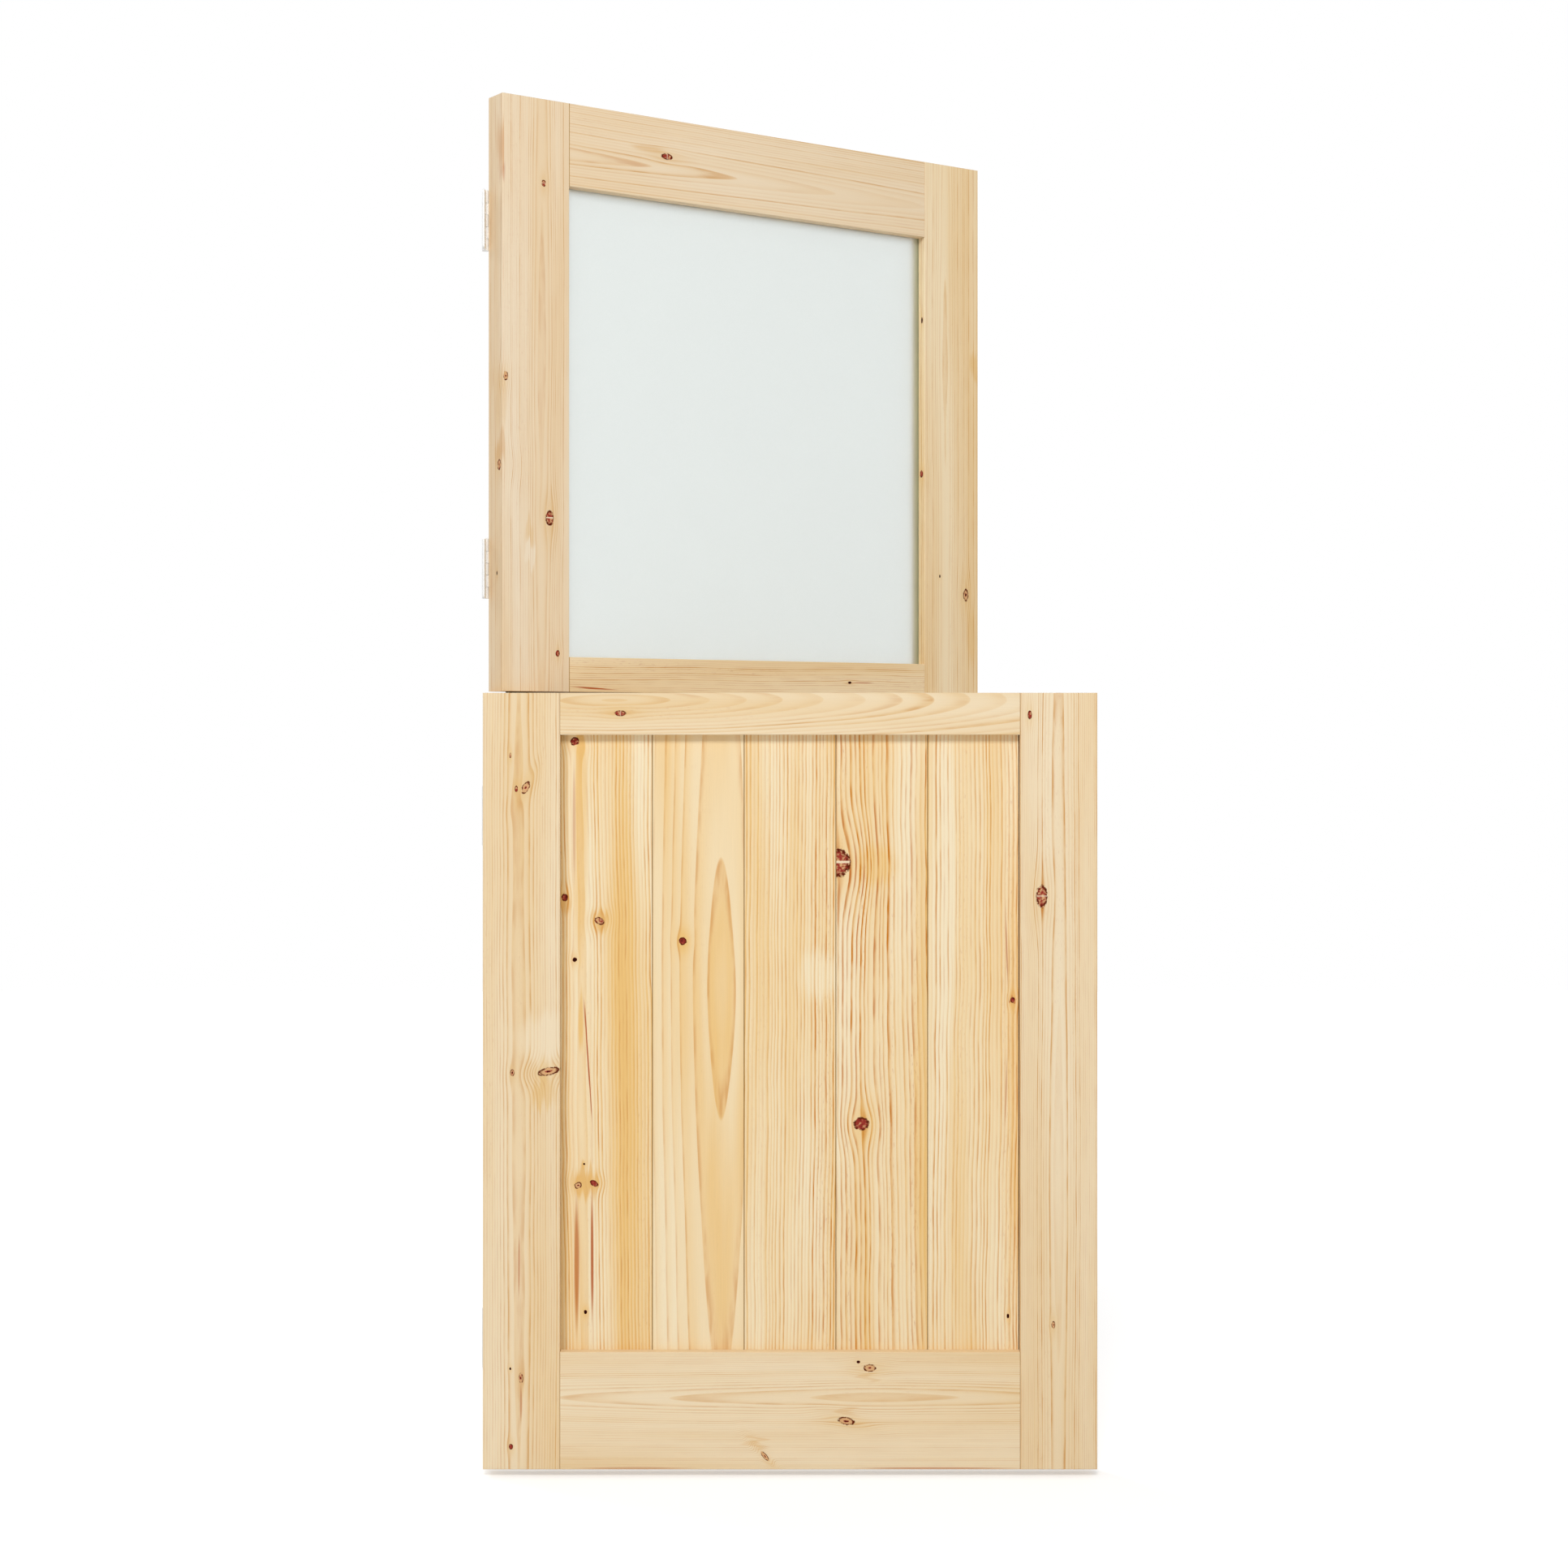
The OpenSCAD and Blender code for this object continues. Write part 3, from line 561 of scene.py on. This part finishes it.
GRAIN = {
    "upper_hinge_stile": dict(
        pith=(67, 25, 520), lean=(0, 0.006, 60), ring=2.2, phase=0.03, waver=0.4, seed=1,
        line=1.25, band=0.35, red=0.2,
        knots=[
            knot(70, 766, 3.3, 5, dark=0.4, crack=0.6),
            knot(5, 471, 3.8, 6.5, dark=0.1),
            knot(80, 262, 6.5, 11, dark=0.35, crack=1),
            knot(94, 58, 3.4, 5),
            knot(-1, 339, 14, 8, depth=11, half_depth=5, dark=0.15),
            knot(0, 177, 6, 3, depth=18, half_depth=1.5, dark=1.1),
        ],
        patches=[
            patch(47, 205, 12, 22, amber=-0.7),
            patch(45, 240, 10, 25, amber=0.4),
            patch(0, 430, 10, 60, amber=0.4),
            patch(1, 818, 2, 60, amber=0.5, rust=0.25),
            patch(2, 776, 3, 20, rust=0.3),
            patch(0, 364, 6, 30, amber=0.5, rust=0.12),
        ],
    ),
    "upper_lock_stile": dict(
        pith=(44, 28, 480), lean=(0, 0.004, 60), ring=2.3, phase=0.39, waver=0.5, seed=2,
        line=1.35, band=0.5, red=0.15,
        knots=[
            knot(88, 171, 5.5, 10, dark=0.1),
            knot(32, 201, 1.5, 2.5, dark=1.2),
            knot(-1, 629, 6, 5, depth=8, half_depth=2, dark=1.1),
            knot(-1, 372, 8, 6, depth=9, half_depth=4),
        ],
        patches=[
            patch(110, 555, 14, 34, turn=20, amber=0.6),
            patch(100, 100, 12, 60, amber=0.35),
        ],
    ),
    "upper_top_rail": dict(
        pith=(50, 20, -40), lean=(0, 0.018, 30), ring=3.4, waver=0.35, seed=3,
        line=0.5, band=0.45, red=0.15,
        knots=[knot(68, 175, 4.5, 10, dark=0.4, crack=0.5)],
        patches=[
            patch(45, 130, 26, 190, lines=0.9),
            patch(76, 150, 7, 40, amber=0.4, rust=0.06),
        ],
    ),
    "upper_bottom_rail": dict(
        pith=(-90, 20, 0), lean=(0.004, 0, 0), ring=3.2, waver=0.7, seed=4,
        line=1.15, band=0.3, red=0.4,
        knots=[knot(20, 529, 2, 3.5, dark=1.2)],
        patches=[
            patch(6, 45, 2, 45, turn=3, rust=0.9),
            patch(20, 556, 1.5, 28, rust=0.6),
        ],
    ),
    "lower_hinge_stile": dict(
        pith=(54, 26, 600), lean=(0, 0.004, 60), ring=3.4, phase=0.39, waver=0.45, seed=5,
        line=1.1, band=0.4, red=0.2,
        knots=[
            knot(64, 1014, 5, 9.5, turn=-25, dark=0.1),
            knot(50, 1012, 2.2, 4.5, dark=0.4),
            knot(41, 1062, 1.5, 4, dark=0.3),
            knot(98, 592, 16, 5.5, turn=12, dark=0.05),
            knot(44, 590, 3, 5, dark=0.15),
            knot(57, 136, 3, 7.5, dark=0.1),
            knot(41, 150, 1.5, 2, dark=1.1),
            knot(42, 34, 3, 4),
        ],
        patches=[
            patch(88, 640, 50, 50, amber=-0.35, lines=-0.6),
            patch(90, 560, 25, 30, amber=0.5),
            patch(54, 300, 2, 60, rust=0.5),
            patch(57, 95, 2, 35, rust=0.5),
        ],
    ),
    "lower_lock_stile": dict(
        pith=(57, 26, 437), lean=(0, 0.004, 60), ring=2.4, phase=0.29, waver=0.45, seed=6,
        line=1.25, band=0.35, red=0.25,
        knots=[
            knot(14, 1122, 3, 6, dark=0.4),
            knot(32, 852, 8, 16, dark=0.36, crack=0.5),
            knot(49, 215, 2.6, 5.5, dark=0.1),
        ],
    ),
    "lower_top_rail": dict(
        pith=(51, 2, 82), lean=(0, 0.09, 20), ring=5, waver=0.5, seed=7,
        line=0.75, band=0.5, red=0.2,
        knots=[knot(32, 90, 4, 8.5, dark=0.36, crack=0.5)],
    ),
    "lower_bottom_rail": dict(
        pith=(107, 30, 480), lean=(0, 0.012, 40), ring=2.2, phase=0.07, waver=0.3, seed=8,
        pick=1, line=0.27, band=0.4, red=0.1,
        knots=[
            knot(151, 461, 5.5, 8.8, dark=0),
            knot(160, 444, 2, 2.5, dark=1.1),
            knot(72, 426, 5.5, 12, turn=12, dark=0),
            knot(20, 305, 3, 9, turn=50, dark=-0.1),
        ],
        patches=[
            patch(90, 340, 140, 600, amber=-0.12),
            patch(2, 560, 2, 150, rust=0.5),
            patch(2, 110, 2, 110, rust=0.4),
            patch(107, 440, 26, 330, lines=0.5),
            patch(137, 461, 10, 14, amber=0.3, rust=0.05),
            patch(87, 426, 10, 18, amber=0.3, rust=0.06),
            patch(40, 292, 15, 16, amber=0.3, rust=0.05),
        ],
    ),
    "board_1": dict(
        pith=(34, 7, 300), lean=(-0.01, 0.004, 50), ring=5.2, waver=0.9, seed=9,
        pick=2, drift=1.9, line=0.6, band=0.65, red=0.25,
        knots=[
            knot(21, 920, 6.5, 6, turn=30),
            knot(58, 652, 7.5, 5, turn=-25, dark=0.3),
            knot(21, 594, 3.2, 3.2, dark=1.2),
            knot(6, 687, 4.5, 5.5, dark=0.6),
            knot(26, 257, 5.5, 4.5, turn=30, dark=0.1),
            knot(50, 260, 6.5, 4, turn=-35, dark=0.45),
            knot(37, 68, 2.4, 3, dark=1.2),
            knot(35, 289, 1.6, 1.6, dark=1.2),
        ],
        patches=[
            patch(41, 440, 1.7, 120, turn=4, rust=0.9),
            patch(30, 500, 5, 60, amber=0.6),
            patch(24, 140, 5, 125, amber=0.5, rust=0.65),
            patch(47, 150, 2.8, 120, amber=0.3, rust=0.85),
            patch(58, 652, 16, 24, amber=0.4, rust=0.1),
            patch(8, 687, 9, 20, amber=0.4, rust=0.15),
            patch(38, 262, 26, 30, amber=0.5, rust=0.1),
            patch(30, 780, 14, 260, amber=0.6),
            patch(20, 800, 3, 110, rust=0.35),
            patch(110, 300, 60, 700, amber=0.4),
        ],
    ),
    "board_2": dict(
        pith=(103, 40, 550), lean=(0, 0.033, 40), ring=13, phase=0.65, waver=0.3, seed=10,
        pick=0.5, share=0.45, line=0.46, band=0.35, red=0.1,
        knots=[knot(45, 622, 5.5, 5.5, dark=0.7)],
        patches=[
            patch(103, 550, 26, 190, amber=0.3),
            patch(100, 200, 26, 260, amber=0.3),
        ],
    ),
    "board_3": dict(
        pith=(-150, 60, 0), lean=(0.006, 0, 0), ring=5.2, waver=0.9, seed=11,
        pick=2, drift=2.2, line=0.78, band=0.6, red=0.25,
        patches=[
            patch(25, 460, 62, 900, amber=0.15, lines=-0.35),
            patch(110, 460, 36, 900, amber=-0.25, lines=0.9),
            patch(112, 572, 42, 48, amber=-0.3, lines=-1.2),
        ],
    ),
    "board_4": dict(
        pith=(300, 60, 0), lean=(-0.008, 0, 0), ring=6.8, waver=1.2, seed=12,
        pick=2, drift=2, line=0.95, band=0.5, red=0.55,
        knots=[
            knot(1, 739, 20, 21, dark=0.37, crack=1),
            knot(38, 349, 11, 9.5),
        ],
        patches=[
            patch(132, 460, 22, 700, amber=0.4),
            patch(50, 620, 60, 260, amber=-0.2, lines=0.3),
            patch(65, 700, 45, 130, lines=0.4),
            patch(75, 360, 22, 60, lines=0.4),
            patch(60, 735, 45, 40, amber=0.3, lines=0.4),
        ],
    ),
    "board_5": dict(
        pith=(-150, 60, 0), lean=(0.004, 0, 0), ring=5.5, waver=1.0, seed=13,
        pick=2, drift=2, line=0.85, band=0.55, red=0.3,
        knots=[
            knot(127, 534, 3.4, 4, dark=0.7),
            knot(120, 62, 1.8, 3.4, dark=1.2),
        ],
        patches=[
            patch(132, 460, 18, 420, amber=0.4),
            patch(22, 700, 22, 500, amber=-0.35),
            patch(126, 534, 9, 3, rust=0.6),
            patch(118, 610, 1.5, 85, turn=2, rust=0.6),
            patch(117, 400, 1.5, 70, turn=-2, rust=0.5),
        ],
    ),
}

# The four beads share one plain grain, and each has its own seed
BEAD_GRAIN = dict(
    pith=(-150, 40, 0), lean=(0, 0, 0), ring=4, waver=0.7,
    line=0.5, band=0.5, red=0.3,
)
BEAD_SIDES = ("bottom", "top", "hinge_side", "lock_side")
FIRST_BEAD_SEED = 20


def board_origin(name):
    """The near, low corner of a board's face, with its leaf closed."""
    low, _ = closed_box(name)
    if name.endswith("rail"):
        leaf = name.split("_")[0]
        low.x = closed_box(leaf + "_hinge_stile")[1].x
    if name.startswith("board"):
        low.x = SPAN_START + BOARD_WIDTH * (int(name[-1]) - 1)
    return low


def palette(name):
    """The colours of a board's wood."""
    if name.startswith("board"):
        return BOARD_PINE
    if name in WARM_NODES:
        return WARM_PINE
    return UPPER_PINE if name in UPPER_NODES else LOWER_PINE


for board, facts in GRAIN.items():
    upright = not board.endswith("rail")
    dress(board, wood(board, board_origin(board), upright, palette(board), **facts))

for count, side in enumerate(BEAD_SIDES):
    bead = "glazing_bead_" + side
    upright = side.endswith("side")
    seed = FIRST_BEAD_SEED + count
    dress(bead, wood(bead, closed_box(bead)[0], upright, UPPER_PINE, seed=seed, **BEAD_GRAIN))


# Other materials: a fine grit sets their colour, roughness and relief

GRIT_DETAIL = 3.0
GRIT_EDGES = (0.35, 0.65)
GRIT_RELIEF = 0.3 * MM
GLASS_TRANSMISSION = 0.75
GLASS_IOR = 1.5
# painted shade: the glass turns darker and greener within EDGE_WIDTH of the lock stile
LOCK_EDGE_PAINTED_SHADE = linear("#d2d9bc")
EDGE_WIDTH = 14 * MM


def gritty(name, cells, first, second, rough, bump):
    """A material between two colours and two roughnesses, with so many cells of grit to the metre."""
    material = bpy.data.materials.new(name)
    material.use_nodes = True
    tree = material.node_tree
    grit = noise(object_places(tree), (cells, cells, cells), GRIT_DETAIL)
    relief = add(tree, "Bump", {"Height": grit, "Strength": bump, "Distance": GRIT_RELIEF})
    colour = blend(ramp(grit, *GRIT_EDGES), linear(first), linear(second))
    shader = tree.nodes["Principled BSDF"]
    put(shader, {"Base Color": colour, "Roughness": between(*rough, grit), "Normal": Wire(relief.outputs[0])})
    return material, shader, colour


def frosted_glass():
    """Glass with a frosted face, and a painted greenish shade near its lock-side edge, where the lock stile's
    reveal shades it.
    """
    material, shader, clear = gritty(
        "frosted_glass", 600, "#eff4f1", "#f2f6f4", rough=(0.32, 0.42), bump=0.05
    )
    edge = Vector((closed_box("upper_lock_stile")[0].x, 0, 0))
    across = split(grain_places(material.node_tree, "glass_pane", edge, True))[0]
    put(shader, {
        "Base Color": blend(ramp(across, -EDGE_WIDTH, 0.0), clear, LOCK_EDGE_PAINTED_SHADE),
        "Transmission Weight": GLASS_TRANSMISSION,
        "IOR": GLASS_IOR,
    })
    return material


def satin_steel():
    material, shader, _ = gritty("fixing_steel", 900, "#c6c6c3", "#d6d6d3", rough=(0.3, 0.45), bump=0.08)
    put(shader, {"Metallic": 1.0})
    return material


glass = frosted_glass()
rubber, _, _ = gritty("dark_rubber", 500, "#2e2520", "#43372e", rough=(0.65, 0.85), bump=0.2)
beech, _, _ = gritty("dowel_wood", 500, "#cda277", "#e0bd94", rough=(0.5, 0.65), bump=0.2)
coat, _, _ = gritty("hinge_white", 700, "#efefed", "#f5f5f4", rough=(0.35, 0.5), bump=0.12)
steel = satin_steel()

dress("glass_pane", glass)
for name in ("meeting_seal", "setting_blocks"):
    dress(name, rubber)
for name in ("upper_dowels", "lower_dowels"):
    dress(name, beech)
for name in nodes:
    if name.endswith(("_plate", "_pin")):
        dress(name, coat)
    if name.endswith(("_pins", "_screws")):
        dress(name, steel)


# Floor, light and camera. The camera is the one fitted to the photo, in pixels of its square frame

WHITE = (1, 1, 1, 1)
LEAF_MIDDLE = 0.45
FLOOR_Z = -0.012
FLOOR_HALF = 7.0
FLOOR_CORNERS = ((-1, -1), (1, -1), (1, 1), (-1, 1))
FLOOR_MIDDLE = (LEAF_MIDDLE, 0.0, FLOOR_Z)
FLOOR_COLOUR = linear("#e8e8e8")
FLOOR_ROUGH = 0.9
NEAR_GLOW = 0.4
FAR_GLOW = 0.65
GLOW_REACH = (1.0, 3.2)
AMBIENT = 0.43
LAMP_AIM = (LEAF_MIDDLE, 0, 1.0)
KEY_LAMP = {"place": (0.2, -5.4, 4.9), "size": 2.0, "watts": 236}
BACK_LAMP = {"place": (-3.5, 3.5, 5.0), "size": 3.0, "watts": 120}
PHOTO_SIDE = 1932
FOCAL_PIXELS = 3109.5
HORIZON_PIXEL = 903.4
SENSOR_WIDTH = 36.0
CAMERA_PLACE = (0.4496, -3.803, 1.0949)


def background_rays(tree):
    """1 for rays that should see the white background, 0 for rays that carry light."""
    path = {s.name: Wire(s) for s in add(tree, "LightPath").outputs}
    seen = most(path["Is Camera Ray"], path["Is Glossy Ray"])
    return most(seen, path["Is Transmission Ray"])


def floor_glow(tree):
    """Lifts the floor to the background's white, and less near the object, where its shadow lies."""
    away = vector("LENGTH", vector("SUBTRACT", object_places(tree), FLOOR_MIDDLE))
    return background_rays(tree) * between(NEAR_GLOW, FAR_GLOW, ramp(away, *GLOW_REACH))


def make_floor():
    corners = [(x * FLOOR_HALF, y * FLOOR_HALF, FLOOR_Z) for x, y in FLOOR_CORNERS]
    mesh = bpy.data.meshes.new("floor")
    mesh.from_pydata(corners, [], [(0, 1, 2, 3)])
    floor = bpy.data.objects.new("floor", mesh)
    scene.collection.objects.link(floor)
    material = bpy.data.materials.new("floor_white")
    material.use_nodes = True
    shader = material.node_tree.nodes["Principled BSDF"]
    put(shader, {"Base Color": FLOOR_COLOUR, "Roughness": FLOOR_ROUGH})
    put(shader, {"Emission Color": WHITE, "Emission Strength": floor_glow(material.node_tree)})
    mesh.materials.append(material)


def make_world():
    world = bpy.data.worlds.new("studio")
    world.use_nodes = True
    tree = world.node_tree
    strength = between(AMBIENT, 1.0, background_rays(tree))
    put(tree.nodes["Background"], {"Color": WHITE, "Strength": strength})
    scene.world = world


def make_lamp(name, place, size, watts):
    data = bpy.data.lights.new(name, "AREA")
    data.shape = "DISK"
    data.size = size
    data.energy = watts
    lamp = bpy.data.objects.new(name, data)
    lamp.location = place
    lamp.rotation_euler = (Vector(LAMP_AIM) - Vector(place)).to_track_quat("-Z", "Y").to_euler()
    scene.collection.objects.link(lamp)


def make_camera():
    data = bpy.data.cameras.new("camera")
    data.sensor_width = SENSOR_WIDTH
    data.lens = SENSOR_WIDTH * FOCAL_PIXELS / PHOTO_SIDE
    data.shift_y = (HORIZON_PIXEL - PHOTO_SIDE / 2) / PHOTO_SIDE
    camera = bpy.data.objects.new("camera", data)
    camera.location = CAMERA_PLACE
    camera.rotation_euler = (math.radians(90), 0, 0)
    scene.collection.objects.link(camera)
    scene.camera = camera


scene.view_settings.view_transform = "Standard"
make_floor()
make_world()
make_lamp("key", **KEY_LAMP)
make_lamp("back", **BACK_LAMP)
make_camera()
